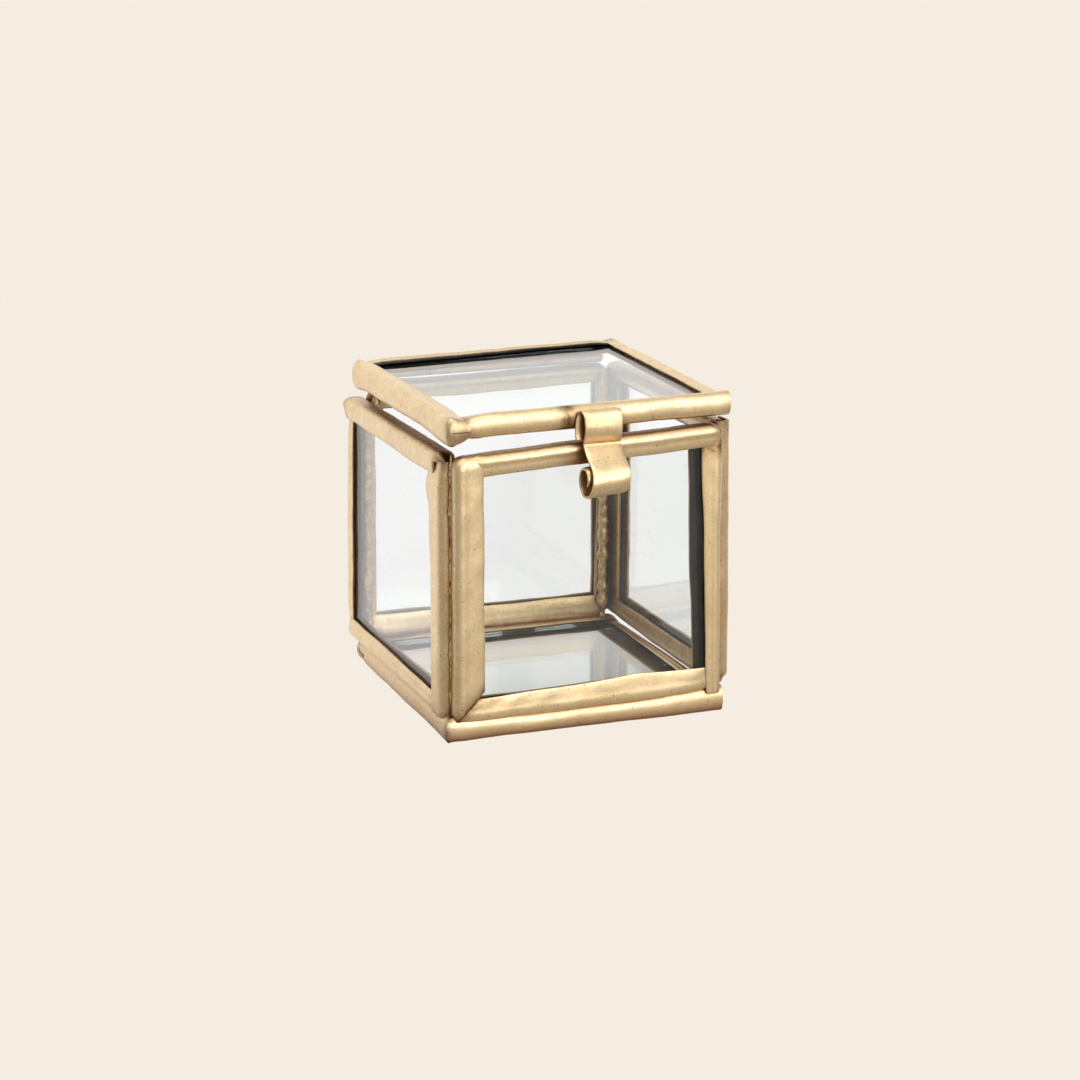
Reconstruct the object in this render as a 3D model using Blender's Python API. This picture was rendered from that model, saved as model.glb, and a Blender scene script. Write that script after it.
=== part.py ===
"""Keepsake box of brass and glass, about five centimetres across.

Six glass panes are each edged by four lengths of folded brass channel.  Four of the
framed panels stand on the fifth: the side panels meet the front one corner to corner and
hold the back one between them.  The sixth is the lid.  It turns on a wire pin in rolled
tubes along the back, and a springy brass strip, curled at the bottom for the fingertip,
clasps it at the front.

Metres, +Z up, the clasp facing -Y.  The origin is the middle of the bounding box's base.
"""
import math

import bmesh
import bpy
from mathutils import Matrix, Vector

# The box
WIDTH = 0.0466              # outer face of the left panel to that of the right one
DEPTH = 0.047               # outer face of the front panel to that of the back one
SIDE_HEIGHT = 0.0411        # the four upright panels
FIT_GAP = 0.0003            # kept between pieces that touch on the bench
PLATE_SIDE_INSET = 0.0009   # the base and the lid stand back from the side panels' faces
PLATE_FRONT_INSET = 0.0002
PLATE_BACK_INSET = 0.0015

# Folded channel round every pane
CHANNEL = 0.0031            # thickness over both flanges, and so of every panel
SHEET = 0.0004
NOSE_RADIUS = 0.0011        # rounding of the two folds
NOSE_STEPS = 4
UPRIGHT_FLANGE = 0.0041     # how far the flanges reach over the glass
BACK_UPRIGHT_FLANGE = 0.0024
RAIL_FLANGE = 0.0033
PLATE_FLANGE = 0.0034

# Hinge in the gap between the back panel and the lid
HINGE_GAP = 0.0022
TUBE_RADIUS = 0.0008
TUBE_BORE_RADIUS = 0.00055
PIN_RADIUS = 0.0004
PIN_OVERHANG = 0.0004
AXIS_INSET = 0.0016         # hinge line in front of the back panel's outer face
HINGE_LENGTH = 0.040
MIDDLE_TUBE_SHARE = 0.5
TUBE_SIDES = 20
PIN_SIDES = 16

# Spring clasp, drawn in a section where "out" is the distance in front of the lid
CLASP_WIDTH = 0.0058
CLASP_CENTRE = 0.0015       # it was soldered a little right of the middle
STRIP = 0.0005
LOOP_INNER_OUT = 0.00055    # the leg soldered to the lid's front channel
LOOP_OUTER_OUT = 0.0017     # the leg that springs clear
LOOP_DROP = 0.0040          # length of the soldered leg below the fold's centre
PINCH_OUT = 0.00125
PINCH_DROP = 0.0045         # below the lid's top face
FLEX_DROP = 0.0037
CURL_RADIUS = 0.0023
CURL_END_RADIUS = 0.0009
CURL_CENTRE_OUT = 0.0033
CURL_CENTRE_DROP = 0.0098
CURL_START = 45.0           # degrees above the level, on the outer side
CURL_EVEN_TO = -180.0       # the roll tightens after the back of the curl
CURL_END = -400.0
CURL_STEP = 15.0

# Solder
SEAM_RADIUS = 0.00045
SEAM_SIDES = 10
TACK_RADIUS = 0.00045
TACK_DETAIL = 2

GLASS = CHANNEL - 2.0 * SHEET - 2.0 * FIT_GAP
CLASP_REACH = CURL_CENTRE_OUT + CURL_RADIUS + STRIP / 2.0
FRONT = -(DEPTH + PLATE_FRONT_INSET - CLASP_REACH) / 2.0
BACK = FRONT + DEPTH
SIDE_BASE = CHANNEL + FIT_GAP
SIDE_TOP = SIDE_BASE + SIDE_HEIGHT
LID_BASE = SIDE_TOP + HINGE_GAP
LID_TOP = LID_BASE + CHANNEL
LID_FRONT = FRONT + PLATE_FRONT_INSET
AXIS = Vector((0.0, BACK - AXIS_INSET, SIDE_TOP + HINGE_GAP / 2.0))

# At the front, neighbouring uprights meet nose to nose, the gap apart, so each panel's
# end stands back by this notch from the face of the panel round the corner.
NOTCH = CHANNEL - 2.0 * NOSE_RADIUS + (2.0 * NOSE_RADIUS + FIT_GAP) / math.sqrt(2.0)


def clear_scene():
    for item in list(bpy.data.objects):
        bpy.data.objects.remove(item, do_unlink=True)


def make_material(name, colour, metallic, roughness, alpha=1.0):
    material = bpy.data.materials.new(name)
    material.use_nodes = True
    shader = material.node_tree.nodes["Principled BSDF"]
    shader.inputs["Base Color"].default_value = (*colour, 1.0)
    shader.inputs["Metallic"].default_value = metallic
    shader.inputs["Roughness"].default_value = roughness
    shader.inputs["Alpha"].default_value = alpha
    material.diffuse_color = (*colour, alpha)
    return material


def add_empty(name, location=(0.0, 0.0, 0.0), rotation=(0.0, 0.0, 0.0), parent=None):
    empty = bpy.data.objects.new(name, None)
    bpy.context.scene.collection.objects.link(empty)
    empty.location = location
    empty.rotation_euler = rotation
    empty.parent = parent
    return empty


def add_piece(name, shape, material, location=(0.0, 0.0, 0.0), rotation=(0.0, 0.0, 0.0),
              parent=None, smooth=False):
    """Turn a bmesh into a named object with one material, its faces pointing out."""
    bmesh.ops.recalc_face_normals(shape, faces=shape.faces)
    mesh = bpy.data.meshes.new(name)
    shape.to_mesh(mesh)
    shape.free()
    if smooth:
        mesh.shade_smooth()
        mesh.set_sharp_from_angle(angle=math.radians(40.0))
    mesh.materials.append(material)
    piece = bpy.data.objects.new(name, mesh)
    bpy.context.scene.collection.objects.link(piece)
    piece.location = location
    piece.rotation_euler = rotation
    piece.parent = parent
    return piece


def arc(centre, radius, start, end, steps):
    """Points from one angle to another, in degrees, round a centre in a section."""
    points = []
    for step in range(steps + 1):
        angle = math.radians(start + (end - start) * step / steps)
        points.append(Vector((centre[0] + radius * math.cos(angle),
                              centre[1] + radius * math.sin(angle))))
    return points


def channel_section(flange):
    """Outline of the folded sheet: depth behind the web's face, and height across it."""
    half = CHANNEL / 2.0
    slot = half - SHEET
    fold = half - NOSE_RADIUS
    section = [Vector((flange, half))]
    section += arc((NOSE_RADIUS, fold), NOSE_RADIUS, 90.0, 180.0, NOSE_STEPS)
    section += arc((NOSE_RADIUS, -fold), NOSE_RADIUS, 180.0, 270.0, NOSE_STEPS)
    section += [Vector((flange, -half)), Vector((flange, -slot))]
    section += [Vector((SHEET, -slot)), Vector((SHEET, slot)), Vector((flange, slot))]
    return section


def channel(length, flange, next_flange):
    """A length of channel along X, its web at Y = 0, cut to a mitre at both ends."""
    shape = bmesh.new()
    slope = next_flange / flange
    trim = FIT_GAP / 2.0 * math.hypot(1.0, slope)
    rings = []
    for end in (-1.0, 1.0):
        ring = []
        for point in channel_section(flange):
            reach = length / 2.0 - slope * point.x - trim
            ring.append(shape.verts.new((end * reach, point.x, point.y)))
        rings.append(ring)
    close_rings(shape, rings)
    return shape


def close_rings(shape, rings):
    """Join rings of vertices into a skin and cap its two ends."""
    count = len(rings[0])
    for low, high in zip(rings, rings[1:]):
        for index in range(count):
            after = (index + 1) % count
            shape.faces.new((low[index], low[after], high[after], high[index]))
    shape.faces.new(rings[0])
    shape.faces.new(rings[-1])


def block(width, height, thickness):
    shape = bmesh.new()
    bmesh.ops.create_cube(shape, size=1.0)
    bmesh.ops.scale(shape, vec=(width, height, thickness), verts=shape.verts)
    return shape


def framed_panel(name, width, height, post_flange, rail_flange, location, rotation,
                 brass, glass, parent=None):
    """A glass pane, lying in its own XY plane, and the four channels folded over it."""
    panel = add_empty(name + "_panel", location, rotation, parent)
    sides = (
        ("bottom", width, rail_flange, post_flange, (0.0, -height / 2.0, 0.0), 0.0),
        ("right", height, post_flange, rail_flange, (width / 2.0, 0.0, 0.0), 90.0),
        ("top", width, rail_flange, post_flange, (0.0, height / 2.0, 0.0), 180.0),
        ("left", height, post_flange, rail_flange, (-width / 2.0, 0.0, 0.0), -90.0),
    )
    for side, length, flange, next_flange, place, turn in sides:
        add_piece(f"{name}_channel_{side}", channel(length, flange, next_flange), brass,
                  place, (0.0, 0.0, math.radians(turn)), panel, smooth=True)
    margin = 2.0 * (SHEET + FIT_GAP)
    add_piece(name + "_pane", block(width - margin, height - margin, GLASS), glass,
              parent=panel)


def side_panels(brass, glass):
    """Four upright panels: notched corners at the front, the back one between the sides."""
    upright = math.radians(90.0)
    height = SIDE_BASE + SIDE_HEIGHT / 2.0
    inset = CHANNEL / 2.0
    across = WIDTH - 2.0 * NOTCH
    between = WIDTH - 2.0 * (CHANNEL + FIT_GAP)
    along = DEPTH - NOTCH
    side_y = BACK - along / 2.0
    walls = (
        ("front", across, UPRIGHT_FLANGE, (0.0, FRONT + inset, height), 0.0),
        ("right", along, UPRIGHT_FLANGE, (WIDTH / 2.0 - inset, side_y, height), 90.0),
        ("back", between, BACK_UPRIGHT_FLANGE, (0.0, BACK - inset, height), 180.0),
        ("left", along, UPRIGHT_FLANGE, (-WIDTH / 2.0 + inset, side_y, height), -90.0),
    )
    for name, span, flange, place, turn in walls:
        framed_panel(name, span, SIDE_HEIGHT, flange, RAIL_FLANGE, place,
                     (upright, 0.0, math.radians(turn)), brass, glass)


def plate(name, height, brass, glass, parent=None):
    """The base or the lid: a panel lying level, a little smaller than the box."""
    width = WIDTH - 2.0 * PLATE_SIDE_INSET
    depth = DEPTH - PLATE_FRONT_INSET - PLATE_BACK_INSET
    place = Vector((0.0, FRONT + PLATE_FRONT_INSET + depth / 2.0, height))
    if parent is not None:
        place -= parent.location
    framed_panel(name, width, depth, PLATE_FLANGE, PLATE_FLANGE, place, (0.0, 0.0, 0.0),
                 brass, glass, parent)


def round_bar(radius, length, sides):
    """A solid bar along its own Z."""
    shape = bmesh.new()
    bmesh.ops.create_cone(shape, cap_ends=True, segments=sides, radius1=radius,
                          radius2=radius, depth=length)
    return shape


def tube(radius, bore, length, sides):
    """A tube along its own Z, with flat ring-shaped ends."""
    shape = bmesh.new()
    rings = []
    for size, end in ((radius, -1.0), (radius, 1.0), (bore, 1.0), (bore, -1.0)):
        ring = []
        for point in arc((0.0, 0.0), size, 0.0, 360.0, sides)[:-1]:
            ring.append(shape.verts.new((point.x, point.y, end * length / 2.0)))
        rings.append(ring)
    for low, high in zip(rings, rings[1:] + rings[:1]):
        for index in range(sides):
            after = (index + 1) % sides
            shape.faces.new((low[index], low[after], high[after], high[index]))
    return shape


def hinge(brass, lid_axis):
    """Outer tubes and pin on the box, middle tube on the lid, all round one line."""
    middle = HINGE_LENGTH * MIDDLE_TUBE_SHARE
    outer = (HINGE_LENGTH - middle) / 2.0
    along = (0.0, math.radians(90.0), 0.0)
    for side, name in ((-1.0, "hinge_tube_left"), (1.0, "hinge_tube_right")):
        place = AXIS + Vector((side * (middle + outer) / 2.0, 0.0, 0.0))
        add_piece(name, tube(TUBE_RADIUS, TUBE_BORE_RADIUS, outer - FIT_GAP, TUBE_SIDES),
                  brass, place, along, smooth=True)
    add_piece("hinge_tube_middle",
              tube(TUBE_RADIUS, TUBE_BORE_RADIUS, middle - FIT_GAP, TUBE_SIDES),
              brass, rotation=along, parent=lid_axis, smooth=True)
    add_piece("hinge_pin", round_bar(PIN_RADIUS, HINGE_LENGTH + 2.0 * PIN_OVERHANG, PIN_SIDES),
              brass, AXIS, along, smooth=True)


def strip(path, origin):
    """Bend a strip of sheet along a path of (out, up) points; its mesh is about origin."""
    shape = bmesh.new()
    rings = []
    for index, point in enumerate(path):
        before = path[max(index - 1, 0)]
        after = path[min(index + 1, len(path) - 1)]
        along = (after - before).normalized()
        across = Vector((-along.y, along.x)) * (STRIP / 2.0)
        corners = ((-1.0, point - across), (1.0, point - across),
                   (1.0, point + across), (-1.0, point + across))
        ring = []
        for side, corner in corners:
            place = Vector((CLASP_CENTRE + side * CLASP_WIDTH / 2.0,
                            LID_FRONT - corner.x, corner.y))
            ring.append(shape.verts.new(place - origin))
        rings.append(ring)
    close_rings(shape, rings)
    return shape


def clasp_loop_path():
    """Up the lid's front, over, and down again as far as the place where it flexes."""
    fold_radius = (LOOP_OUTER_OUT - LOOP_INNER_OUT) / 2.0
    fold_out = LOOP_INNER_OUT + fold_radius
    fold_up = LID_TOP - fold_radius
    path = [Vector((LOOP_INNER_OUT, fold_up - LOOP_DROP))]
    path += arc((fold_out, fold_up), fold_radius, 180.0, 0.0, 6)
    path.append(Vector((LOOP_OUTER_OUT, LID_TOP - FLEX_DROP + FIT_GAP / 2.0)))
    return path


def clasp_tongue_path():
    """From the flexing place in to the pinch, then out, down and round the curl."""
    centre = Vector((CURL_CENTRE_OUT, LID_TOP - CURL_CENTRE_DROP))
    pinch = Vector((PINCH_OUT, LID_TOP - PINCH_DROP))
    start = Vector((LOOP_OUTER_OUT, LID_TOP - FLEX_DROP - FIT_GAP / 2.0))
    path = [start, start.lerp(pinch, 0.6), pinch + Vector((STRIP / 4.0, -STRIP))]
    angle = CURL_START
    while angle >= CURL_END:
        tightened = min(max((CURL_EVEN_TO - angle) / (CURL_EVEN_TO - CURL_END), 0.0), 1.0)
        radius = CURL_RADIUS + (CURL_END_RADIUS - CURL_RADIUS) * tightened
        turn = math.radians(angle)
        path.append(centre + radius * Vector((math.cos(turn), math.sin(turn))))
        angle -= CURL_STEP
    return path


def clasp(brass, lid_axis):
    """One strip in two nodes: the loop soldered to the lid, and the tongue that flexes."""
    add_piece("clasp_loop", strip(clasp_loop_path(), AXIS), brass, parent=lid_axis,
              smooth=True)
    flex = Vector((CLASP_CENTRE, LID_FRONT - LOOP_OUTER_OUT, LID_TOP - FLEX_DROP))
    add_piece("clasp_tongue", strip(clasp_tongue_path(), flex), brass, flex - AXIS,
              parent=lid_axis, smooth=True)


def seam_places():
    """Distance of the beads from the middle plane, and their Y, at the front and back.

    A front bead lies in the groove outside two noses.  A back bead lies inside the box,
    against a side panel's flange and the back panel's nose.
    """
    reach = NOSE_RADIUS + SEAM_RADIUS + FIT_GAP
    groove = math.sqrt(reach ** 2 - (NOSE_RADIUS + FIT_GAP / 2.0) ** 2) / math.sqrt(2.0)
    inset = (NOTCH + CHANNEL) / 2.0 - groove
    inside = CHANNEL + FIT_GAP + SEAM_RADIUS
    ahead = math.sqrt(reach ** 2 - (NOSE_RADIUS - SEAM_RADIUS) ** 2)
    return (
        ("front", WIDTH / 2.0 - inset, FRONT + inset),
        ("back", WIDTH / 2.0 - inside, BACK - CHANNEL + NOSE_RADIUS - ahead),
    )


def solder(metal):
    """A bead down each upright seam, and a tack on the base's corner below each bead."""
    tack_height = SIDE_BASE + TACK_RADIUS
    seam_base = tack_height + TACK_RADIUS + FIT_GAP
    for end, out, y in seam_places():
        for direction, side in ((-1.0, "left"), (1.0, "right")):
            x = direction * out
            add_piece(f"solder_seam_{end}_{side}",
                      round_bar(SEAM_RADIUS, SIDE_TOP - seam_base, SEAM_SIDES), metal,
                      (x, y, (SIDE_TOP + seam_base) / 2.0), smooth=True)
            tack = bmesh.new()
            bmesh.ops.create_icosphere(tack, subdivisions=TACK_DETAIL, radius=TACK_RADIUS)
            add_piece(f"solder_tack_{end}_{side}", tack, metal, (x, y, tack_height),
                      smooth=True)


def build():
    clear_scene()
    brass = make_material("brass", (0.72, 0.54, 0.31), 1.0, 0.34)
    glass = make_material("glass", (0.87, 0.89, 0.89), 0.0, 0.05, alpha=0.3)
    metal = make_material("solder", (0.58, 0.50, 0.38), 1.0, 0.45)
    lid_axis = add_empty("lid_axis", AXIS)
    plate("base", CHANNEL / 2.0, brass, glass)
    side_panels(brass, glass)
    plate("lid", LID_BASE + CHANNEL / 2.0, brass, glass, lid_axis)
    hinge(brass, lid_axis)
    clasp(brass, lid_axis)
    solder(metal)


build()
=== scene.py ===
"""Keepsake box of brass and glass: how it looks.

The box stands as it was put together on a bench: first one framed panel, which shows how
every panel is made, then the others, the hinge, the clasp and the solder.
"""
import math
import random

import bmesh
import bpy
import numpy as np
from mathutils import Matrix, Vector, noise


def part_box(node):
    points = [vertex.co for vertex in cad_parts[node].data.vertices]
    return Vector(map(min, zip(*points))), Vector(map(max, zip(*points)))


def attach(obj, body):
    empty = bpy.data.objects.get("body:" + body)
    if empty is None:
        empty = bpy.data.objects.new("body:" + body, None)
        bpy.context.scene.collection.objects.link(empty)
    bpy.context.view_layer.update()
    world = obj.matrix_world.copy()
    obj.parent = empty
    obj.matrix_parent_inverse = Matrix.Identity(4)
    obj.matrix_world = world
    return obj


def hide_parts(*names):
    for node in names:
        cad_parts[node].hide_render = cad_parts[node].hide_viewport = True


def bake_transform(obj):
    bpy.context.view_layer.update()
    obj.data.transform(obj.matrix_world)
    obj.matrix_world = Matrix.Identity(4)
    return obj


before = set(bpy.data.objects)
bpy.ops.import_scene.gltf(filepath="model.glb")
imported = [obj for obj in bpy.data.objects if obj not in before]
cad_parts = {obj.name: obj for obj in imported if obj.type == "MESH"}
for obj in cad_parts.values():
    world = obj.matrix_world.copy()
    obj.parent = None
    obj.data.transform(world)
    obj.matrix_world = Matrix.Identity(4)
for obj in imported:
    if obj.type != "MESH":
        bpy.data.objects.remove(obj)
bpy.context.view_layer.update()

MM = 0.001


# ---------------------------------------------------------------------------------------
# Sheet brass
# Soft brass sheet 0.4 mm thick, cut in strips and folded by hand over the glass, rubbed
# to a satin and left unlacquered.  It is browned at the joints, and shade is painted on
# in brown in its crevices and along its folds.

def linear(code):
    """A six-digit sRGB colour as linear red, green, blue and full alpha."""
    parts = []
    for start in (0, 2, 4):
        value = int(code[start:start + 2], 16) / 255.0
        if value <= 0.04045:
            parts.append(value / 12.92)
        else:
            parts.append(((value + 0.055) / 1.055) ** 2.4)
    return (*parts, 1.0)


def node(tree, kind, links=None, **settings):
    """Add a shader node.  Settings name its properties or, with spaces as _, its inputs.

    links maps an input's name or number to the socket that feeds it.
    """
    made = tree.nodes.new(kind)
    for key, value in settings.items():
        if hasattr(made, key):
            setattr(made, key, value)
        else:
            made.inputs[key.replace("_", " ")].default_value = value
    for key, socket in (links or {}).items():
        tree.links.new(socket, made.inputs[key])
    return made


def new_material(name):
    """An empty node material, with its tree."""
    material = bpy.data.materials.new(name)
    material.use_nodes = True
    material.node_tree.nodes.clear()
    return material, material.node_tree


def finish_material(tree, shader_socket):
    """Show the shader on the surface."""
    output = tree.nodes.new("ShaderNodeOutputMaterial")
    tree.links.new(shader_socket, output.inputs["Surface"])


def grain(tree, size_mm, detail=2.0, roughness=0.5, distortion=0.0):
    """Noise whose blotches are about size_mm across."""
    place = node(tree, "ShaderNodeTexCoord")
    return node(tree, "ShaderNodeTexNoise", {"Vector": place.outputs["Object"]},
                Scale=1.0 / (size_mm * MM), Detail=detail, Roughness=roughness,
                Distortion=distortion)


def ramp(tree, socket, low, high, to_low=0.0, to_high=1.0):
    """Stretch the part of a value from low to high over another range, clamped."""
    made = node(tree, "ShaderNodeMapRange", {"Value": socket})
    for key, value in (("From Min", low), ("From Max", high),
                       ("To Min", to_low), ("To Max", to_high)):
        made.inputs[key].default_value = value
    return made.outputs["Result"]


def blend_colours(tree, factor, first, second):
    """Mix two colours, each a socket or a colour, by a socket."""
    made = tree.nodes.new("ShaderNodeMix")
    made.data_type = "RGBA"
    tree.links.new(factor, made.inputs["Factor"])
    for slot_name, colour in (("A", first), ("B", second)):
        socket = [s for s in made.inputs if s.name == slot_name and s.type == "RGBA"][0]
        if isinstance(colour, tuple):
            socket.default_value = colour
        else:
            tree.links.new(colour, socket)
    return [s for s in made.outputs if s.type == "RGBA"][0]


def maths(tree, operation, first, second):
    """Work on two values, each a socket or a number."""
    made = node(tree, "ShaderNodeMath", operation=operation)
    for index, value in enumerate((first, second)):
        if isinstance(value, (int, float)):
            made.inputs[index].default_value = value
        else:
            tree.links.new(value, made.inputs[index])
    return made.outputs["Value"]


# How far the painted crevice shade looks for parts close by.
CREVICE_REACH = 3.2 * MM


def satin_brass():
    """Hand-rubbed yellow brass: pale on the faces, with painted brown shade in its crevices,
    and brown where it wears and where shade is painted on.

    The tarnish attribute, which also carries painted shade and shadow, browns it from 0 to 1
    and blackens it from there up to 1.7.
    """
    material, tree = new_material("brass_satin_hand_rubbed")
    broad = grain(tree, 6.0, 3.0).outputs["Fac"]
    mottle = grain(tree, 0.9, 4.0, 0.6).outputs["Fac"]
    fine = grain(tree, 0.16, 2.0, 0.6).outputs["Fac"]
    specks = grain(tree, 0.42, 1.0, 0.4).outputs["Fac"]
    wear_and_painted_shade = node(tree, "ShaderNodeAttribute", attribute_name="tarnish_and_painted_shade").outputs["Fac"]
    crevice = node(tree, "ShaderNodeAmbientOcclusion", samples=8,
                   Distance=CREVICE_REACH)
    base = blend_colours(tree, ramp(tree, broad, 0.35, 0.65), linear("F0D9AF"),
                         linear("E9D0A2"))
    base = blend_colours(tree, ramp(tree, mottle, 0.42, 0.75, 0.0, 0.35), base,
                         linear("D3B185"))
    base = blend_colours(tree, ramp(tree, fine, 0.5, 0.75, 0.0, 0.4), base,
                         linear("A8825A"))
    # Painted shade: orange-brown wherever ambient occlusion finds parts close by.
    shade = ramp(tree, crevice.outputs["AO"], 0.3, 0.93, 1.0, 0.0)
    base = blend_colours(tree, maths(tree, "MULTIPLY", shade, 0.85), base,
                         linear("98582A"))
    # Brown where the attribute runs high, which includes painted shade; broken up by the mottle.
    base = blend_colours(tree, maths(tree, "MULTIPLY", ramp(tree, wear_and_painted_shade, 0.0, 1.0),
                                     ramp(tree, mottle, 0.3, 0.6, 0.65, 1.0)),
                         base, linear("68431F"))
    # Near black where the attribute runs highest, as on the lid's back rim, where it is painted
    # shadow.
    base = blend_colours(tree, ramp(tree, wear_and_painted_shade, 1.1, 1.7), base, linear("120E08"))
    base = blend_colours(tree, ramp(tree, specks, 0.70, 0.76, 0.0, 0.6), base,
                         linear("6E5330"))
    rough = ramp(tree, mottle, 0.3, 0.7, 0.35, 0.45)
    bumps = node(tree, "ShaderNodeBump", {"Height": fine}, Strength=0.35,
                 Distance=0.02 * MM)
    dents = node(tree, "ShaderNodeBump",
                 {"Height": mottle, "Normal": bumps.outputs["Normal"]}, Strength=0.4,
                 Distance=0.06 * MM)
    shader = node(tree, "ShaderNodeBsdfPrincipled",
                  {"Base Color": base, "Roughness": rough,
                   "Normal": dents.outputs["Normal"]}, Metallic=1.0)
    finish_material(tree, shader.outputs["BSDF"])
    return material


def blackened_brass():
    """The side of the sheet against the glass: near black, mottled, with fine lighter specks."""
    material, tree = new_material("brass_blackened_inside")
    mottle = grain(tree, 1.2, 4.0, 0.6).outputs["Fac"]
    fine = grain(tree, 0.2, 2.0).outputs["Fac"]
    base = blend_colours(tree, ramp(tree, mottle, 0.4, 0.75), linear("0E0C08"),
                         linear("221D12"))
    base = blend_colours(tree, ramp(tree, fine, 0.6, 0.8, 0.0, 0.3), base,
                         linear("4A4128"))
    bumps = node(tree, "ShaderNodeBump", {"Height": mottle}, Strength=0.5,
                 Distance=0.05 * MM)
    shader = node(tree, "ShaderNodeBsdfPrincipled",
                  {"Base Color": base, "Normal": bumps.outputs["Normal"]},
                  Metallic=0.2, Roughness=0.7)
    finish_material(tree, shader.outputs["BSDF"])
    return material


BRASS = satin_brass()
BLACKENED = blackened_brass()


def sheet_piece(name, outer, inner, tarnish_and_painted_shade, body, nodes,
                rim=0.12 * MM, materials=(BRASS, BLACKENED)):
    """A piece of thin sheet between two skins of points, stations by points across.

    The skins are joined round their edges.  tarnish, which also carries painted shade, is one
    number per point of a skin.
    """
    stations, across = outer.shape[:2]
    loops = np.concatenate([outer, inner[:, ::-1]], axis=1)
    count = 2 * across
    faces = []
    kinds = []
    for row in range(stations - 1):
        for column in range(count):
            after = (column + 1) % count
            faces.append((row * count + column, row * count + after,
                          (row + 1) * count + after, (row + 1) * count + column))
            kinds.append(1 if across <= column < count - 1 else 0)
    for row in (0, stations - 1):
        for column in range(across - 1):
            faces.append((row * count + column, row * count + column + 1,
                          row * count + count - 2 - column,
                          row * count + count - 1 - column))
            kinds.append(0)
    mesh = bpy.data.meshes.new(name)
    mesh.from_pydata(loops.reshape(-1, 3).tolist(), [], faces)
    mesh.polygons.foreach_set("material_index", kinds)
    wear_and_painted_shade = mesh.attributes.new("tarnish_and_painted_shade", "FLOAT", "POINT")
    wear_and_painted_shade.data.foreach_set("value", np.concatenate([tarnish_and_painted_shade, tarnish_and_painted_shade[:, ::-1]],
                                                  axis=1).ravel().astype(np.float32))
    for material in materials:
        mesh.materials.append(material)
    shape = bmesh.new()
    shape.from_mesh(mesh)
    bmesh.ops.recalc_face_normals(shape, faces=shape.faces)
    shape.to_mesh(mesh)
    shape.free()
    mesh.shade_smooth()
    piece = bpy.data.objects.new(name, mesh)
    bpy.context.scene.collection.objects.link(piece)
    edge = piece.modifiers.new("rubbed_edge", "BEVEL")
    edge.width = rim
    edge.segments = 2
    edge.limit_method = "ANGLE"
    edge.angle_limit = math.radians(50.0)
    if body:
        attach(piece, body)
    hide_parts(*nodes)
    return piece


def keyed(keys, position):
    """Smoothly follow (position, value) keys; a plain number stays the same all along."""
    if isinstance(keys, (int, float)):
        return float(keys)
    if position <= keys[0][0]:
        return keys[0][1]
    for (start, first), (end, second) in zip(keys, keys[1:]):
        if position <= end:
            share = (position - start) / (end - start)
            share = share * share * (3.0 - 2.0 * share)
            return first + (second - first) * share
    return keys[-1][1]


def waver(seed, position, length):
    """Slow hand-made wandering along a strip, 1.5 either way at the very most."""
    chance = random.Random(seed)
    total = 0.0
    for waves in (1.3, 2.7, 5.1, 8.7):
        phase = chance.uniform(0.0, math.tau)
        total += math.sin(position / length * waves * math.pi + phase) / (1.0 + 0.5 * waves)
    return total


class Panel:
    """One framed panel: its plane, its size and how far its four corners are out of true.

    Corners go bottom left, bottom right, top right, top left as seen from outside (the
    base and the lid as seen from above), each out by (across, up, outward) in mm.
    """

    def __init__(self, name, across, up, body, corners):
        self.name = name
        self.body = body
        self.across = Vector(across)
        self.up = Vector(up)
        self.out = self.across.cross(self.up)
        lows, highs = zip(*(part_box(f"{name}_channel_{side}")
                            for side in ("bottom", "right", "top", "left")))
        low = Vector([min(point[axis] for point in lows) for axis in range(3)])
        high = Vector([max(point[axis] for point in highs) for axis in range(3)])
        self.centre = (low + high) / 2.0
        size = high - low
        self.width = abs(size.dot(self.across))
        self.height = abs(size.dot(self.up))
        self.thickness = abs(size.dot(self.out))
        self.corners = [Vector(corner) * MM for corner in corners]

    def world(self, x, y, z):
        """A point given across, up and outward from the panel's centre, corners bent."""
        u = min(max(x / self.width + 0.5, -0.1), 1.1)
        v = min(max(y / self.height + 0.5, -0.1), 1.1)
        low_left, low_right, high_right, high_left = self.corners
        shift = (low_left * (1.0 - u) * (1.0 - v) + low_right * u * (1.0 - v)
                 + high_right * u * v + high_left * (1.0 - u) * v)
        return (self.centre + self.across * (x + shift.x) + self.up * (y + shift.y)
                + self.out * (z + shift.z))

    def along(self, side, s, d, z):
        """A point s along a side, anticlockwise, d in from its edge and z outward."""
        half_w = self.width / 2.0
        half_h = self.height / 2.0
        x, y = {
            "bottom": (s - half_w, d - half_h),
            "right": (half_w - d, s - half_h),
            "top": (half_w - s, half_h - d),
            "left": (d - half_w, half_h - s),
        }[side]
        return self.world(x, y, z)


# In mm.  NOSE is how deep the fold is, and CHANNEL_OVER_GLASS half of how much thicker the
# channel is than the glass.  A strip strays by WANDER as a whole and by RAGGED at its rims.
SHEET = 0.4
SHEET_OFF_GLASS = 0.02
CHANNEL_OVER_GLASS = 0.7
NOSE = 1.3
TUCKED_UNDER = 1.3
CLOSING_OVER = {"lap": 1.9, "fold": 1.0}
WANDER = 0.1
RAGGED = 0.13
NOSE_POINTS = 15
FLANGE_POINTS = 8


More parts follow.
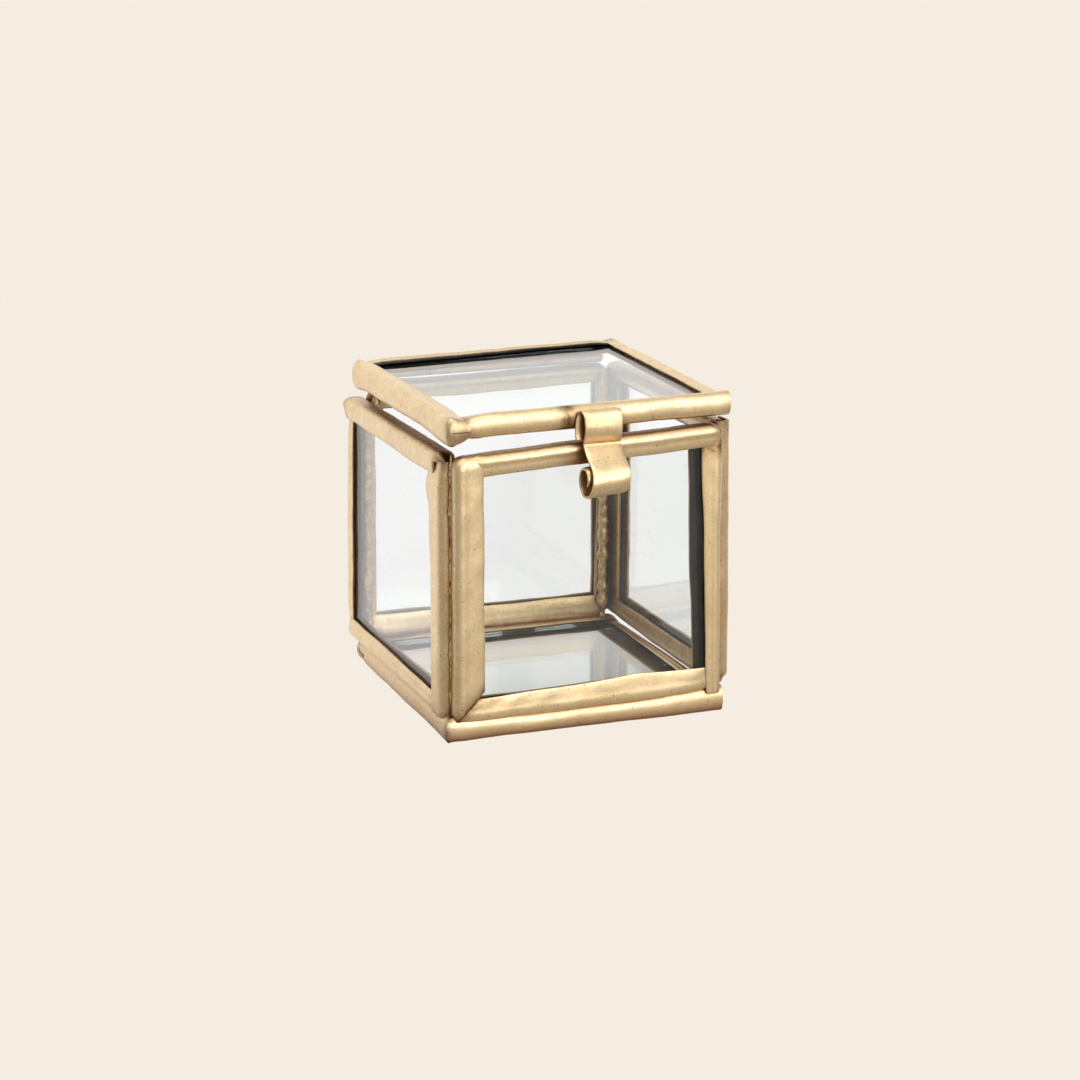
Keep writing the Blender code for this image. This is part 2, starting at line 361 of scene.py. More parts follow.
def folded_bar(panel, side, out=3.4, inn=2.6, start="tuck", end="tuck", push=0.0,
               swell=1.0, lift=0.0, square=2.4, valley=0.06, browned=(0.5, 0.5), dark_patches=(),
               painted_rim_shadow=0.0, inside=0.1, painted_fold_shade=0.35, seed=1):
    """A strip folded round the edge of the glass; every size is in mm.

    out and inn: how far its outer and inner flanges reach.  push and lift move it off the
    edge and outward, swell fattens it.  square is how boxy the fold is, 2 being round, and
    valley how deep a groove runs along each flange beside the fold.

    A "tuck" end runs under its neighbour, a "lap" is closed over it like a thumb, a "fold"
    is closed square, an "open" one shows its hollow and a "mitre" is cut across.  An end
    can also be (style, gap), where it stops gap short of the panel's edge, or past it if
    gap is negative.

    The rest darkens the brass: browned at its two ends, stains as (place, spread, strength),
    grime as painted shadow over the rim of the outer flange, inside on the inner flange, and
    nosed as painted shade on the fold.
    """
    length = (panel.width if side in ("bottom", "top") else panel.height) / MM
    half = panel.thickness / MM / 2.0
    tip = half - CHANNEL_OVER_GLASS + SHEET + SHEET_OFF_GLASS
    start, first = start if isinstance(start, tuple) else (start, 0.0)
    end, last = end if isinstance(end, tuple) else (end, 0.0)
    first += TUCKED_UNDER if start == "tuck" else 0.0
    last = length - last - (TUCKED_UNDER if end == "tuck" else 0.0)
    # Stations crowd together where an end closes, and lie 0.75 mm apart between.
    closing = [0.0, 0.03, 0.09, 0.19, 0.33, 0.52, 0.78, 1.1, 1.5, 2.0, 2.3, 2.7, 3.3]
    middle = np.linspace(first + 4.0, last - 4.0, int((last - first - 8.0) / 0.75) + 1)
    places = [first + step for step in closing] + list(middle)
    places += [last - step for step in reversed(closing)]
    chance = random.Random(seed * 7 + 3)
    offset = Vector([chance.uniform(-40.0, 40.0) for _ in range(3)])
    outer = []
    inner = []
    tarnish_and_painted_shade = []
    for s in places:
        wide = keyed(out, s) + RAGGED * waver(seed, s, length)
        back = keyed(inn, s) + RAGGED * waver(seed + 50, s, length)
        fat = half * keyed(swell, s) * (1.0 + 0.3 * WANDER * waver(seed + 90, s, length))
        shove = keyed(push, s) + WANDER * waver(seed + 20, s, length)
        raised = keyed(lift, s)
        low_tip = tip
        round_off = 0.0
        for style, distance in ((start, s - first), (end, last - s)):
            if style in CLOSING_OVER:
                close = min(max(distance / CLOSING_OVER[style], 0.0), 1.0)
                full = math.sqrt(max(1.0 - (1.0 - close) ** 2, 0.0))
                round_off = max(round_off, (1.0 - full) * CLOSING_OVER[style] * 0.8)
                fat *= (0.10 + 0.90 * full) * 1.08
                low_tip *= 0.16 + 0.84 * full
            elif style == "tuck":
                share = min(max(distance / 4.2, 0.0), 1.0)
                share = share * share * (3.0 - 2.0 * share)
                fat *= 0.74 + 0.26 * share
                low_tip *= 0.88 + 0.12 * share
        section = []
        for step in range(FLANGE_POINTS):
            share = step / FLANGE_POINTS
            section.append((wide + (NOSE - wide) * share, share, 1.0))
        for step in range(NOSE_POINTS):
            section.append((None, 90.0 - 180.0 * step / (NOSE_POINTS - 1), 0.0))
        for step in range(1, FLANGE_POINTS + 1):
            share = 1.0 - step / FLANGE_POINTS
            section.append((back + (NOSE - back) * share, share, -1.0))
        points = []
        for d, value, way in section:
            if d is None:
                angle = math.radians(value)
                power = 2.0 / square
                z = math.copysign(abs(math.sin(angle)) ** power, angle) * fat
                d = NOSE * (1.0 - abs(math.cos(angle)) ** power)
            else:
                rise = value ** 0.75
                dip = math.exp(-((value - 0.72) / 0.2) ** 2) * valley
                z = way * (low_tip + (fat - low_tip) * rise - dip * min(fat, 1.0))
            span = wide if z > 0.0 else back
            d += round_off * max(1.0 - d / max(span, 1.0), 0.0)
            points.append((d - shove * max(1.0 - d / (span + 0.5), 0.0), z))
        row_out = []
        row_in = []
        row_wear_and_painted_shade = []
        count = len(points)
        for index, (d, z) in enumerate(points):
            before = points[max(index - 1, 0)]
            after = points[min(index + 1, count - 1)]
            run = math.hypot(after[0] - before[0], after[1] - before[1]) or 1.0
            normal = ((before[1] - after[1]) / run, (after[0] - before[0]) / run)
            if normal[0] * (NOSE - d) - normal[1] * z > 0.0:
                normal = (-normal[0], -normal[1])
            spot = Vector((s, d, z)) + offset
            bump = 0.06 * noise.noise(spot / 3.0) + 0.02 * noise.noise(spot / 0.9)
            shift_start = d + 0.08 if start == "mitre" else 0.0
            shift_end = d + 0.08 if end == "mitre" else 0.0
            share = (s - first) / (last - first)
            place = (first + shift_start
                     + share * (last - first - shift_start - shift_end))
            if "mitre" in (start, end):
                place += 0.14 * noise.noise(spot / 0.7)
            thin = SHEET
            if start in CLOSING_OVER or end in CLOSING_OVER:
                thin = min(SHEET, 0.75 * abs(z) + 0.12)
            row_out.append(panel.along(side, place * MM, (d + normal[0] * bump) * MM,
                                       (z + normal[1] * bump + raised) * MM))
            row_in.append(panel.along(side, place * MM, (d - normal[0] * thin) * MM,
                                      (z - normal[1] * thin + raised) * MM))
            wear_and_painted_shade = min(browned[0] * math.exp(-(s - first) / 0.9)
                       + browned[1] * math.exp(-(last - s) / 0.9), 1.0)
            for middle_of, spread, strength in dark_patches:
                wear_and_painted_shade += strength * math.exp(-((s - middle_of) / spread) ** 2)
            edge = min(index, count - 1 - index)
            wear_and_painted_shade += 0.25 * math.exp(-edge / 0.6)
            if index < FLANGE_POINTS:
                # Painted shadow over the rim of the outer flange.
                wear_and_painted_shade += painted_rim_shadow * min(max((5.0 - index) / 3.0, 0.0), 1.0)
            elif index > count - FLANGE_POINTS:
                wear_and_painted_shade += inside
            else:
                # Painted shade along the fold, rising from nothing at the outer flange.
                wear_and_painted_shade += keyed(painted_fold_shade, s) * min((index - FLANGE_POINTS) / 6.0, 1.0) ** 2
            row_wear_and_painted_shade.append(wear_and_painted_shade)
        outer.append(row_out)
        inner.append(row_in)
        tarnish_and_painted_shade.append(row_wear_and_painted_shade)
    cad = f"{panel.name}_channel_{side}"
    sheet_piece(cad + "_sheet", np.array(outer), np.array(inner), np.array(tarnish_and_painted_shade),
                panel.body, [cad])


# ---------------------------------------------------------------------------------------
# Glass
# Thin window glass cut by hand, its edges dulled and its faces dusty, held only by the
# channel folded round it.

def window_glass():
    """Clear float glass with a faint pale film of dust and a few specks."""
    material, tree = new_material("glass_clear_float")
    film = grain(tree, 9.0, 4.0, 0.6, 0.6).outputs["Fac"]
    specks = grain(tree, 0.35, 0.0).outputs["Fac"]
    clear = node(tree, "ShaderNodeBsdfGlass", Color=linear("FBFCFB"), IOR=1.5,
                 Roughness=0.0)
    dust = node(tree, "ShaderNodeBsdfDiffuse", Color=linear("F1F2F3"))
    amount = maths(tree, "ADD", ramp(tree, film, 0.35, 0.75, 0.0, 0.015),
                   ramp(tree, specks, 0.81, 0.84, 0.0, 0.25))
    dusty = node(tree, "ShaderNodeMixShader", {"Fac": amount, 1: clear.outputs["BSDF"],
                                               2: dust.outputs["BSDF"]})
    through = node(tree, "ShaderNodeBsdfTransparent", Color=linear("F4F7F6"))
    path = node(tree, "ShaderNodeLightPath")
    shader = node(tree, "ShaderNodeMixShader",
                  {"Fac": path.outputs["Is Shadow Ray"], 1: dusty.outputs["Shader"],
                   2: through.outputs["BSDF"]})
    finish_material(tree, shader.outputs["Shader"])
    return material


GLASS = window_glass()


def pane(panel):
    """The glass of a panel, its arrises dulled, following the panel's crooked corners."""
    cad = panel.name + "_pane"
    low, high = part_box(cad)
    size = high - low
    width = abs(size.dot(panel.across))
    height = abs(size.dot(panel.up))
    thick = abs(size.dot(panel.out))
    shape = bmesh.new()
    bmesh.ops.create_cube(shape, size=1.0)
    bmesh.ops.subdivide_edges(shape, edges=shape.edges[:], cuts=6, use_grid_fill=True)
    bmesh.ops.scale(shape, vec=(width, height, thick), verts=shape.verts)
    rims = [edge for edge in shape.edges
            if len(edge.link_faces) == 2 and edge.calc_face_angle() > 1.0]
    bmesh.ops.bevel(shape, geom=rims, offset=0.12 * MM, segments=2, affect="EDGES",
                    profile=0.5)
    for vert in shape.verts:
        vert.co = panel.world(*vert.co)
    bmesh.ops.recalc_face_normals(shape, faces=shape.faces)
    mesh = bpy.data.meshes.new(cad)
    shape.to_mesh(mesh)
    shape.free()
    mesh.materials.append(GLASS)
    piece = bpy.data.objects.new(panel.name + "_glass", mesh)
    bpy.context.scene.collection.objects.link(piece)
    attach(piece, panel.body)
    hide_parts(cad)


# ---------------------------------------------------------------------------------------
# Base
# A level panel that the others stand on, in the same sheet and glass.  Its front and left
# strips are the fattest, and they meet in a mitre at the front left.

base = Panel("base", (1, 0, 0), (0, 1, 0), "box",
             ((-0.5, -0.1, 0.0), (0.1, 0.0, 0.0), (0.0, 0.0, 0.0), (-0.2, 0.2, 0.0)))
pane(base)
folded_bar(base, "bottom", out=3.2, inn=3.4, start="mitre", end=("open", 0.05), seed=11,
           swell=((0.0, 1.3), (5.0, 1.2), (14.0, 1.12), (30.0, 1.15), (42.0, 1.3)),
           lift=((0.0, 0.55), (6.0, 0.45), (14.0, 0.33), (30.0, 0.35), (42.0, 0.58)),
           browned=(0.8, 0.2), painted_fold_shade=0.0)
folded_bar(base, "right", out=((0.0, 2.3), (40.0, 1.9)), inn=4.2, seed=12, painted_fold_shade=0.0,
           swell=((0.0, 1.1), (22.0, 1.12), (36.0, 1.0)),
           lift=((0.0, 0.2), (22.0, 0.2), (36.0, 0.05)))
folded_bar(base, "top", out=2.6, inn=4.4, start="lap", end="lap", seed=13, painted_fold_shade=0.0,
           lift=0.36,
           swell=((0.0, 1.0), (33.0, 1.05), (37.0, 0.9), (41.0, 0.9), (43.0, 1.05)))
folded_bar(base, "left", out=2.8, inn=3.4, start="tuck", end="mitre", seed=14, painted_fold_shade=0.0,
           swell=((0.0, 1.3), (36.0, 1.3), (44.0, 1.38)), lift=((0.0, 0.5), (44.0, 0.58)),
           browned=(0.5, 0.8))

# ---------------------------------------------------------------------------------------
# Front panel
# The left upright's rounded top laps the top strip; at the bottom left the two strips
# were cut to a ragged mitre, and at the bottom right the upright is cut off square and lies on top.

front = Panel("front", (1, 0, 0), (0, 0, 1), "box",
              ((-0.3, 0.2, 0.0), (1.4, 0.75, 0.0), (0.85, 1.5, 0.0), (-0.3, -0.4, 0.0)))
pane(front)
folded_bar(front, "bottom", out=((0.0, 3.2), (14.0, 3.3), (28.0, 3.9), (43.0, 3.4)),
           inn=3.0, start="mitre", end="tuck", seed=21, square=3.0,
           push=((0.0, 0.5), (8.0, 0.75), (28.0, 0.75), (38.0, 0.45), (43.0, 0.15)),
           valley=0.02, browned=(1.0, 0.5))
folded_bar(front, "right", out=((0.0, 2.4), (20.0, 2.8), (40.0, 3.4)),
           inn=((0.0, 3.9), (40.0, 4.9)), start=("open", -0.85), end="tuck", push=0.1,
           seed=22, dark_patches=((37.6, 1.3, 0.9),))
# Its fold is painted darker as shade beneath the lid.
folded_bar(front, "top", out=3.3, inn=2.6, start="lap", end="tuck", seed=23,
           painted_fold_shade=0.6)
folded_bar(front, "left", out=4.1, inn=2.6, start="lap", end="mitre", push=0.6, seed=24,
           valley=0.14, browned=(0.4, 1.0))

# ---------------------------------------------------------------------------------------
# Right panel
# It sits a millimetre high at the front, clear of the base, and stands out from it, most
# of all at the lower front corner.  Its back strip was cut about twice as wide as it need be.

right = Panel("right", (0, 1, 0), (0, 0, 1), "box",
              ((0.0, 1.1, 1.1), (-0.6, 0.45, 0.5), (-0.6, 0.4, 0.65), (0.0, 1.2, 0.5)))
pane(right)
folded_bar(right, "bottom", out=3.8, inn=3.1, start="tuck", end="lap", seed=31,
           push=((0.0, 1.0), (22.0, 0.6), (44.0, 0.1)), inside=0.5)
folded_bar(right, "right", out=7.4, inn=6.0, start="tuck", end="tuck", swell=0.9,
           push=0.3, seed=32)
folded_bar(right, "top", out=3.4, inn=2.4, start="lap", end="tuck", seed=33)
folded_bar(right, "left", out=3.6, inn=2.4, start="open", end="fold", push=0.2, seed=34,
           browned=(0.6, 0.4))

# ---------------------------------------------------------------------------------------
# Back panel
# Held between the side panels; its strips are folded nearly alike inside and out.

back = Panel("back", (-1, 0, 0), (0, 0, 1), "box",
             ((-0.95, -0.3, 0.0), (0.3, 0.3, 0.0), (0.3, -0.2, 0.0), (-0.95, 0.0, 0.0)))
pane(back)
folded_bar(back, "bottom", out=3.9, inn=3.9, start="lap", end="lap", seed=41,
           push=((0.0, 0.3), (36.0, 0.3), (38.5, -0.35), (43.0, -0.35)), valley=0.03)
folded_bar(back, "right", out=2.6, inn=2.2, start="tuck", end="tuck", seed=42)
# Its fold is painted darker as shade.
folded_bar(back, "top", out=3.3, inn=2.8, start="lap", end="lap", seed=43, valley=0.02,
           push=0.2, painted_fold_shade=0.6)
folded_bar(back, "left", out=2.5, inn=2.4, start="tuck", end="tuck", push=0.5, seed=44)

# ---------------------------------------------------------------------------------------
# Left panel
# Its top strip runs the whole way and shows its hollow at the back; the front upright's
# outer flange was cut too wide near the top.

left = Panel("left", (0, -1, 0), (0, 0, 1), "box",
             ((-0.8, 0.3, 0.0), (0.0, 0.3, 0.0), (0.0, 0.0, 0.0), (0.3, -1.1, 0.0)))
pane(left)
folded_bar(left, "bottom", out=3.3, inn=((0.0, 3.6), (40.0, 4.2)), start="lap",
           end="tuck", seed=51)
folded_bar(left, "right", out=((0.0, 3.8), (20.0, 3.9), (31.0, 4.6), (35.0, 5.9),
                               (38.0, 4.8)),
           inn=2.6, start="open", end="tuck", push=0.6, valley=0.12, seed=52,
           browned=(0.6, 0.6))
# Its fold is painted darker as shade, most at the front under the lid's overhang.
folded_bar(left, "top", out=((0.0, 1.7), (2.0, 1.7), (2.5, 3.7), (10.0, 3.9), (44.0, 3.5)),
           inn=2.6, start="lap", end="open", seed=53,
           swell=((0.0, 1.1), (34.0, 1.1), (44.0, 1.2)), browned=(0.9, 0.6),
           painted_fold_shade=((0.0, 1.0), (20.0, 0.7), (40.0, 0.1)))
folded_bar(left, "left", out=2.6, inn=3.9, start=("tuck", 1.2), end="tuck", seed=54)

# ---------------------------------------------------------------------------------------
# Lid
# The same again, lying nearly level on the others.  Its left strip is the fattest, and the
# outer flange of the back one is painted black along its rim as shadow.

lid = Panel("lid", (1, 0, 0), (0, 1, 0), "lid",
            ((-0.2, 0.0, 0.0), (0.3, 0.0, 0.4), (0.6, 0.1, 0.1), (-0.7, 0.0, -0.25)))
pane(lid)
folded_bar(lid, "bottom", out=3.4, inn=3.4, start="tuck", end="open", seed=61, painted_fold_shade=0.0,
           swell=((0.0, 1.0), (5.0, 1.15), (44.0, 1.15)), lift=((4.0, 0.0), (7.0, 0.2)),
           dark_patches=((18.8, 1.2, 1.0), (2.8, 1.4, 0.6)), browned=(0.7, 0.2))
folded_bar(lid, "right", out=2.6, inn=3.5, start="tuck", end="open", seed=62, painted_fold_shade=0.0,
           browned=(0.9, 0.9))
# The back strip's outer rim is painted black as shadow.
folded_bar(lid, "top", out=((0.0, 2.8), (40.0, 3.7)), inn=4.6, start="tuck", end="tuck",
           swell=1.1, painted_rim_shadow=2.2, seed=63, painted_fold_shade=0.0)
folded_bar(lid, "left", out=3.8, inn=3.4, start="lap", end="fold", seed=64, painted_fold_shade=0.0,
           swell=((0.0, 1.35), (7.0, 1.15), (34.0, 1.1), (42.0, 1.25)),
           lift=((0.0, -0.5), (7.0, -0.2), (34.0, -0.15), (42.0, -0.35)))

# ---------------------------------------------------------------------------------------
# Hinge
# Tubes rolled from thinner brass sheet, soldered turn about to the box and the lid, on a
# straight wire whose ends are filed round.

def rolled_tube(cad, body, seed):
    """Sheet rolled until its edges almost meet, the seam on top."""
    low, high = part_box(cad)
    centre = (low + high) / 2.0
    radius = (high.z - low.z) / 2.0
    outer = []
    inner = []
    tarnish_and_painted_shade = []
    for place in np.linspace(low.x, high.x, 24):
        row_out = []
        row_in = []
        for step in range(25):
            angle = math.radians(100.0 + 350.0 * step / 24.0)
            around = Vector((0.0, math.cos(angle), math.sin(angle)))
            spot = Vector((place, 0.0, 0.0)) + around * radius
            wobble = 0.03 * MM * noise.noise(spot / (1.5 * MM) + Vector((seed, 0.0, 0.0)))
            row_out.append(Vector((place, centre.y, centre.z)) + around * (radius + wobble))
            row_in.append(Vector((place, centre.y, centre.z)) + around * (radius * 0.66))
        outer.append(row_out)
        inner.append(row_in)
        near_end = min(place - low.x, high.x - place)
        tarnish_and_painted_shade.append([0.25 + 0.5 * math.exp(-near_end / (0.8 * MM))] * 25)
    sheet_piece(cad + "_rolled", np.array(outer), np.array(inner), np.array(tarnish_and_painted_shade),
                body, [cad], rim=0.05 * MM)


rolled_tube("hinge_tube_left", "box", 3)
rolled_tube("hinge_tube_middle", "lid", 5)
rolled_tube("hinge_tube_right", "box", 8)


def lathed(name, axis_points, radii, sides, material, cad, ripple,
           ripple_size=1.0 * MM):
    """A solid of rings round a line of points on the box, closed to a point at both ends."""
    shape = bmesh.new()
    line = [Vector(point) for point in axis_points]
    along = (line[-1] - line[0]).normalized()
    first = along.orthogonal().normalized()
    second = along.cross(first)
    rings = []
    for point, radius in zip(line[1:-1], radii[1:-1]):
        ring = []
        for step in range(sides):
            angle = math.tau * step / sides
            around = first * math.cos(angle) + second * math.sin(angle)
            uneven = 1.0 + ripple * noise.noise((point + around * radius) / ripple_size)
            ring.append(shape.verts.new(point + around * radius * uneven))
        rings.append(ring)
    for low, high in zip(rings, rings[1:]):
        for step in range(sides):
            after = (step + 1) % sides
            shape.faces.new((low[step], low[after], high[after], high[step]))
    for point, ring in ((line[0], rings[0]), (line[-1], rings[-1])):
        end = shape.verts.new(point)
        for step in range(sides):
            shape.faces.new((end, ring[step], ring[(step + 1) % sides]))
    bmesh.ops.recalc_face_normals(shape, faces=shape.faces)
    mesh = bpy.data.meshes.new(name)
    shape.to_mesh(mesh)
    shape.free()
    mesh.materials.append(material)
    mesh.shade_smooth()
    piece = bpy.data.objects.new(name, mesh)
    bpy.context.scene.collection.objects.link(piece)
    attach(piece, "box")
    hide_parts(cad)


def hinge_wire():
    """Straight brass wire with its two ends filed round."""
    low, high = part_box("hinge_pin")
    radius = (high.z - low.z) / 2.0
    centre = (low + high) / 2.0
    length = high.x - low.x
    steps = [0.0, 0.02, 0.12, 0.3] + [0.6 + 0.7 * step for step in range(56)]
    steps = [step for step in steps if step * MM < length / 2.0]
    places = steps + [length / MM - step for step in reversed(steps)]
    radii = []
    for place in places:
        from_end = min(place, length / MM - place) * MM
        radii.append(radius * math.sqrt(min(from_end / radius, 1.0)))
    points = [(low.x + place * MM, centre.y, centre.z) for place in places]
    lathed("hinge_pin_wire", points, radii, 20, BRASS, "hinge_pin", 0.03)


hinge_wire()

# ---------------------------------------------------------------------------------------
# Clasp
# One strip of springy brass 0.45 mm thick: soldered up the lid's front, folded over into
# a loop, pinched in under the lid, then out and down to a curl for the fingertip.

CLASP_LEFT = -1.7
CLASP_RIGHT = 4.2
CLASP_THICK = 0.45
LID_TOP_IN_PATH = 49.8


def clasp_path():
    """Points down the strip, in mm.

    Each is the distance out from the box's front, the height for a lid whose top is at
    LID_TOP_IN_PATH, the shift of the left edge, and how far the right edge is out from
    and above the left.
    """
    path = [(0.30, 45.45, -0.8, 0.0, 0.0), (0.16, 46.1, -0.9, 0.0, 0.0),
            (0.10, 47.2, -0.9, 0.0, 0.0), (0.08, 48.4, -0.8, 0.0, 0.0)]
    for step in range(9):
        angle = math.radians(180.0 - 180.0 * step / 8.0)
        path.append((0.86 + 0.78 * math.cos(angle), 49.15 + 0.72 * math.sin(angle),
                     -0.6 + 0.06 * step, 0.05, 0.1))
    path += [(1.74, 48.3, 0.0, 0.1, 0.1), (1.80, 47.4, 0.05, 0.1, 0.0),
             (1.66, 46.4, 0.05, 0.1, 0.0), (1.36, 45.6, 0.0, 0.0, 0.0),
             (1.14, 45.15, 0.0, -0.1, 0.0), (1.12, 44.85, 0.0, -0.1, 0.0),
             (1.32, 44.5, 0.0, -0.1, 0.0), (1.75, 44.05, 0.0, -0.05, 0.05),
             (2.45, 43.4, 0.0, 0.0, 0.1), (3.55, 42.66, 0.0, -0.1, 0.18)]
    for step in range(31):
        turned = step / 30.0
        angle = math.radians(50.0 - 442.0 * turned)
        tight = min(max((turned - 0.45) / 0.55, 0.0), 1.0)
        size = 2.35 - 1.35 * tight ** 1.15
        path.append((3.15 + size * math.cos(angle), 40.05 + size * math.sin(angle) * 1.02,
                     -0.6 * min(turned * 3.0, 1.0), -0.2 - 0.3 * min(turned * 4.0, 1.0),
                     0.25 + 0.2 * min(turned * 4.0, 1.0)))
    return path


def clasp():
    """The whole strip in one piece, smooth between the path's points."""
    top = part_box("lid_channel_bottom")[1].z / MM
    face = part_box("front_channel_top")[0].y / MM
    coarse = clasp_path()
    path = []
    for index in range(len(coarse) - 1):
        before = np.array(coarse[max(index - 1, 0)])
        here = np.array(coarse[index])
        after = np.array(coarse[index + 1])
        later = np.array(coarse[min(index + 2, len(coarse) - 1)])
        for step in range(3):
            t = step / 3.0
            path.append(0.5 * (2.0 * here + (after - before) * t
                               + (2.0 * before - 5.0 * here + 4.0 * after - later) * t ** 2
                               + (3.0 * here - before - 3.0 * after + later) * t ** 3))
    path.append(np.array(coarse[-1]))
    outer = []
    inner = []
    tarnish_and_painted_shade = []
    width = CLASP_RIGHT - CLASP_LEFT
    for index, (out, up, left_shift, tilt_out, tilt_up) in enumerate(path):
        ahead = path[min(index + 1, len(path) - 1)]
        behind = path[max(index - 1, 0)]
        run = math.hypot(ahead[0] - behind[0], ahead[1] - behind[1])
        normal = ((ahead[1] - behind[1]) / run, -(ahead[0] - behind[0]) / run)
        row_out = []
        row_in = []
        row_wear_and_painted_shade = []
        for step in range(19):
            share = (1.0 - math.cos(math.pi * step / 18.0)) / 2.0
            x = CLASP_LEFT + left_shift + (width - left_shift * 0.7) * share
            here = (out + tilt_out * (share - 0.4), up + tilt_up * (share - 0.4))
            edge = min(share, 1.0 - share) * width
            half = CLASP_THICK / 2.0 * min(0.72 + edge * 0.9, 1.0)
            spot = Vector((x, out, up))
            uneven = 0.05 * noise.noise(spot / 2.2) + 0.015 * noise.noise(spot / 0.6)
            skins = []
            for way in (-1.0, 1.0):
                skins.append(Vector((x * MM,
                                     (face - here[0] - normal[0] * (half * way + uneven)) * MM,
                                     (here[1] + top - LID_TOP_IN_PATH
                                      + normal[1] * (half * way + uneven)) * MM)))
            row_out.append(skins[0])
            row_in.append(skins[1])
            row_wear_and_painted_shade.append(0.5 * math.exp(-min(index, len(path) - 1 - index) / 3.0)
                            + 0.12 * math.exp(-edge / 0.15))
        outer.append(row_out)
        inner.append(row_in)
        tarnish_and_painted_shade.append(row_wear_and_painted_shade)
    piece = sheet_piece("clasp_strip", np.array(outer), np.array(inner), np.array(tarnish_and_painted_shade),
                        None, ["clasp_loop", "clasp_tongue"], rim=0.06 * MM,
                        materials=(BRASS, BRASS))
    x = (CLASP_LEFT + CLASP_RIGHT) / 2.0 * MM
    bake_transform(piece)


clasp()

# ---------------------------------------------------------------------------------------
# Solder
# Soft solder washed with brass colour: beads down the upright seams, lumpy where the
# iron paused, and tacks on the corners of the base.

def dull_solder():
    """Cast, slightly pitted metal, yellowed to go with the brass, brown in blotches."""
    material, tree = new_material("solder_brass_washed")
    mottle = grain(tree, 0.7, 4.0, 0.6).outputs["Fac"]
    fine = grain(tree, 0.15, 2.0).outputs["Fac"]
    base = blend_colours(tree, ramp(tree, mottle, 0.35, 0.65), linear("A07E52"),
                         linear("DDC294"))
    bumps = node(tree, "ShaderNodeBump", {"Height": fine}, Strength=0.5,
                 Distance=0.04 * MM)
    shader = node(tree, "ShaderNodeBsdfPrincipled",
                  {"Base Color": base, "Roughness": ramp(tree, mottle, 0.3, 0.7, 0.3, 0.5),
                   "Normal": bumps.outputs["Normal"]}, Metallic=1.0)
    finish_material(tree, shader.outputs["BSDF"])
    return material


SOLDER = dull_solder()


def solder_bead(cad, seed, fullness):
    """A run of solder down a seam; fullness is its width against the CAD's bead."""
    low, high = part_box(cad)
    centre = (low + high) / 2.0
    radius = (high.x - low.x) / 2.0 * fullness
    height = high.z - low.z
    points = []
    radii = []
    count = 110
    for step in range(count + 1):
        z = low.z + height * step / count
        ends = min(step, count - step) / 4.0
        lump = noise.noise(Vector((seed * 3.1, z / (1.1 * MM), 0.0)))
        slow = noise.noise(Vector((seed * 1.7, 4.0, z / (5.0 * MM))))
        size = radius * max(0.85 + (0.6 * lump + 0.5 * slow) / fullness, 0.35)
        radii.append(size * min(ends, 1.0))
        points.append((centre.x, centre.y, z))
    lathed(cad + "_run", points, radii, 14, SOLDER, cad, 0.3 / fullness,
           0.5 * MM)


def solder_tack(cad):
    """A rounded blob of solder."""
    low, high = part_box(cad)
    centre = (low + high) / 2.0
    radius = (high.x - low.x) / 2.0
    points = []
    radii = []
    for step in range(13):
        turn = math.pi * step / 12.0
        points.append((centre.x, centre.y, centre.z - radius * 1.3 * math.cos(turn)))
        radii.append(radius * 1.35 * math.sin(turn))
    lathed(cad + "_blob", points, radii, 14, SOLDER, cad, 0.4, 0.45 * MM)


for seed, corner, fullness in ((2, "front_left", 0.75), (3, "front_right", 0.8),
                               (4, "back_left", 1.6), (5, "back_right", 2.0)):
    solder_bead("solder_seam_" + corner, seed, fullness)
    solder_tack("solder_tack_" + corner)

# ---------------------------------------------------------------------------------------
# Floor, light and camera
# Paper on a table under three soft lamps.  The camera sees paper and wall as one even
# beige; glass and metal see a white studio round them, brighter behind the box.

floor_mesh = bpy.data.meshes.new("floor")
floor_mesh.from_pydata([(-3, -3, 0), (3, -3, 0), (3, 3, 0), (-3, 3, 0)], [],
                       [(0, 1, 2, 3)])
floor = bpy.data.objects.new("floor", floor_mesh)
bpy.context.scene.collection.objects.link(floor)


def paper_floor():
    """Even beige to the camera; to brass and glass, grey in front and glowing behind."""
    material, tree = new_material("paper_pale")
    path = node(tree, "ShaderNodeLightPath")
    seen = node(tree, "ShaderNodeEmission", Color=linear("F5EDE2"), Strength=1.0)
    place = node(tree, "ShaderNodeTexCoord")
    apart = node(tree, "ShaderNodeSeparateXYZ", {"Vector": place.outputs["Object"]})
    behind = ramp(tree, apart.outputs["Y"], -0.035, 0.035)
    paper = node(tree, "ShaderNodeBsdfDiffuse", Color=linear("ACA69D"))
    glow = node(tree, "ShaderNodeEmission", Color=linear("F3F1F3"), Strength=1.17)
    lit = node(tree, "ShaderNodeMixShader", {"Fac": behind, 1: paper.outputs["BSDF"],
                                             2: glow.outputs["Emission"]})
    shader = node(tree, "ShaderNodeMixShader",
                  {"Fac": path.outputs["Is Camera Ray"], 1: lit.outputs["Shader"],
                   2: seen.outputs["Emission"]})
    finish_material(tree, shader.outputs["Shader"])
    return material


floor.data.materials.append(paper_floor())

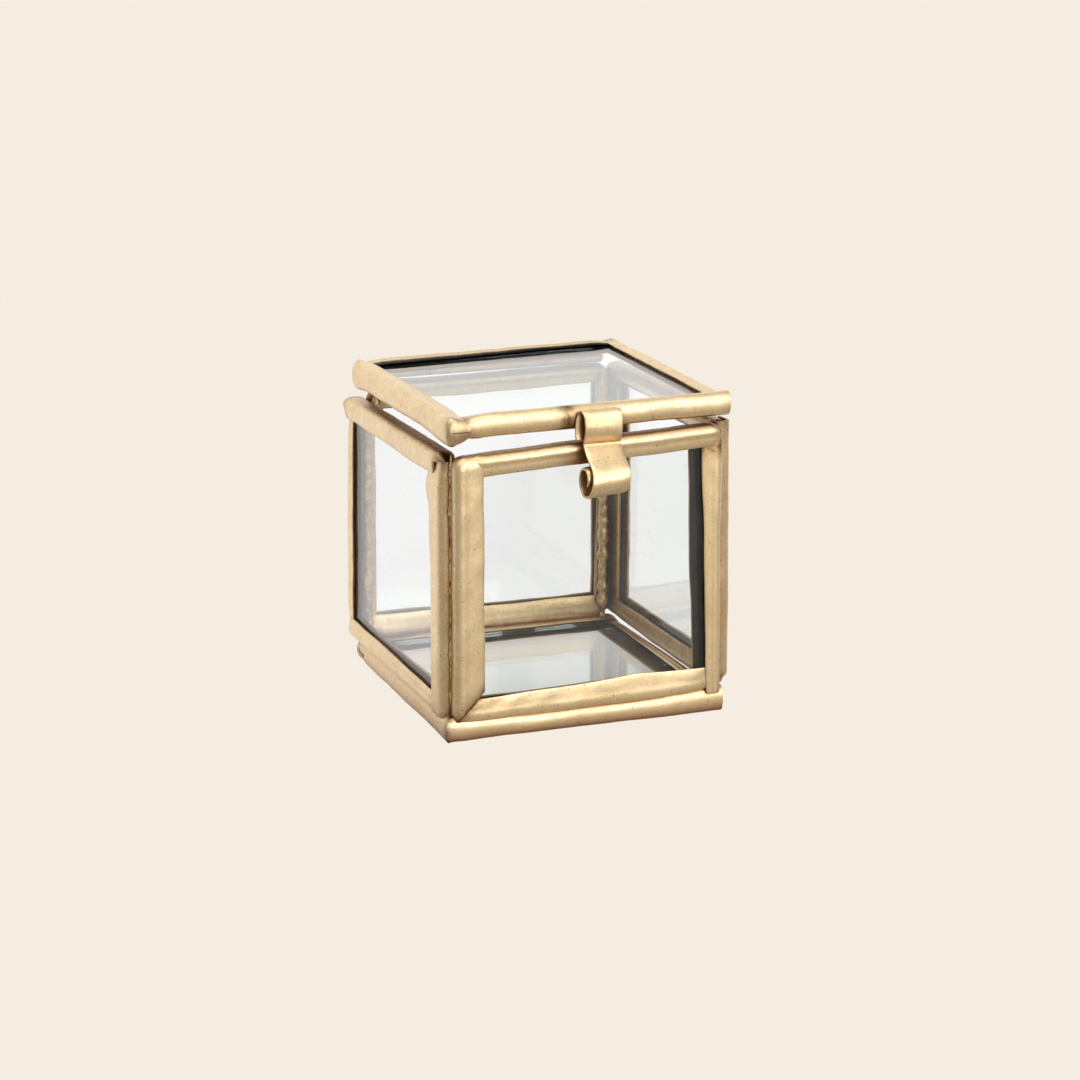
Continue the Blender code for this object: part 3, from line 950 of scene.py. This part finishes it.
world = bpy.data.worlds.new("studio")
bpy.context.scene.world = world
world.use_nodes = True
tree = world.node_tree
tree.nodes.clear()
path = node(tree, "ShaderNodeLightPath")
seen = node(tree, "ShaderNodeBackground", Color=linear("F5EDE2"), Strength=1.0)
place = node(tree, "ShaderNodeTexCoord")
apart = node(tree, "ShaderNodeSeparateXYZ", {"Vector": place.outputs["Generated"]})
lit = node(tree, "ShaderNodeBackground",
           {"Strength": ramp(tree, apart.outputs["Y"], 0.3, 0.9, 0.66, 1.28)},
           Color=linear("F4F4F4"))
mixed = node(tree, "ShaderNodeMixShader",
             {"Fac": path.outputs["Is Camera Ray"], 1: lit.outputs["Background"],
              2: seen.outputs["Background"]})
sky = tree.nodes.new("ShaderNodeOutputWorld")
tree.links.new(mixed.outputs["Shader"], sky.inputs["Surface"])


BOX_HEART = Vector((0.0, 0.0, 0.02))


def soft_light(name, place, size, power):
    """A round softbox aimed at the lower half of the box."""
    data = bpy.data.lights.new(name, "AREA")
    data.shape = "DISK"
    data.size = size
    data.energy = power
    lamp = bpy.data.objects.new(name, data)
    bpy.context.scene.collection.objects.link(lamp)
    lamp.location = place
    lamp.rotation_mode = "QUATERNION"
    lamp.rotation_quaternion = (BOX_HEART - Vector(place)).to_track_quat("-Z", "Y")


soft_light("top_softbox", (-0.1, -0.15, 0.6), 0.6, 1.5)
soft_light("front_softbox", (0.45, -0.7, 0.3), 1.1, 4.6)
soft_light("low_softbox", (0.15, -0.8, 0.1), 0.6, 1.5)

target = Vector((1.0, 2.825, 23.54)) * MM
azimuth = math.radians(-21.06)
elevation = math.radians(15.69)
roll = math.radians(0.29)
camera_away = 0.5
backward = Vector((math.sin(azimuth) * math.cos(elevation),
                   -math.cos(azimuth) * math.cos(elevation), math.sin(elevation)))
camera_data = bpy.data.cameras.new("camera")
camera_data.lens = 106.34
camera_data.sensor_width = 36.0
camera = bpy.data.objects.new("camera", camera_data)
bpy.context.scene.collection.objects.link(camera)
camera.location = target + backward * camera_away
aim = (-backward).to_track_quat("-Z", "Y").to_matrix().to_4x4()
camera.rotation_mode = "QUATERNION"
camera.rotation_quaternion = (aim @ Matrix.Rotation(roll, 4, "Z")).to_quaternion()
bpy.context.scene.camera = camera
bpy.context.scene.view_settings.view_transform = "Standard"
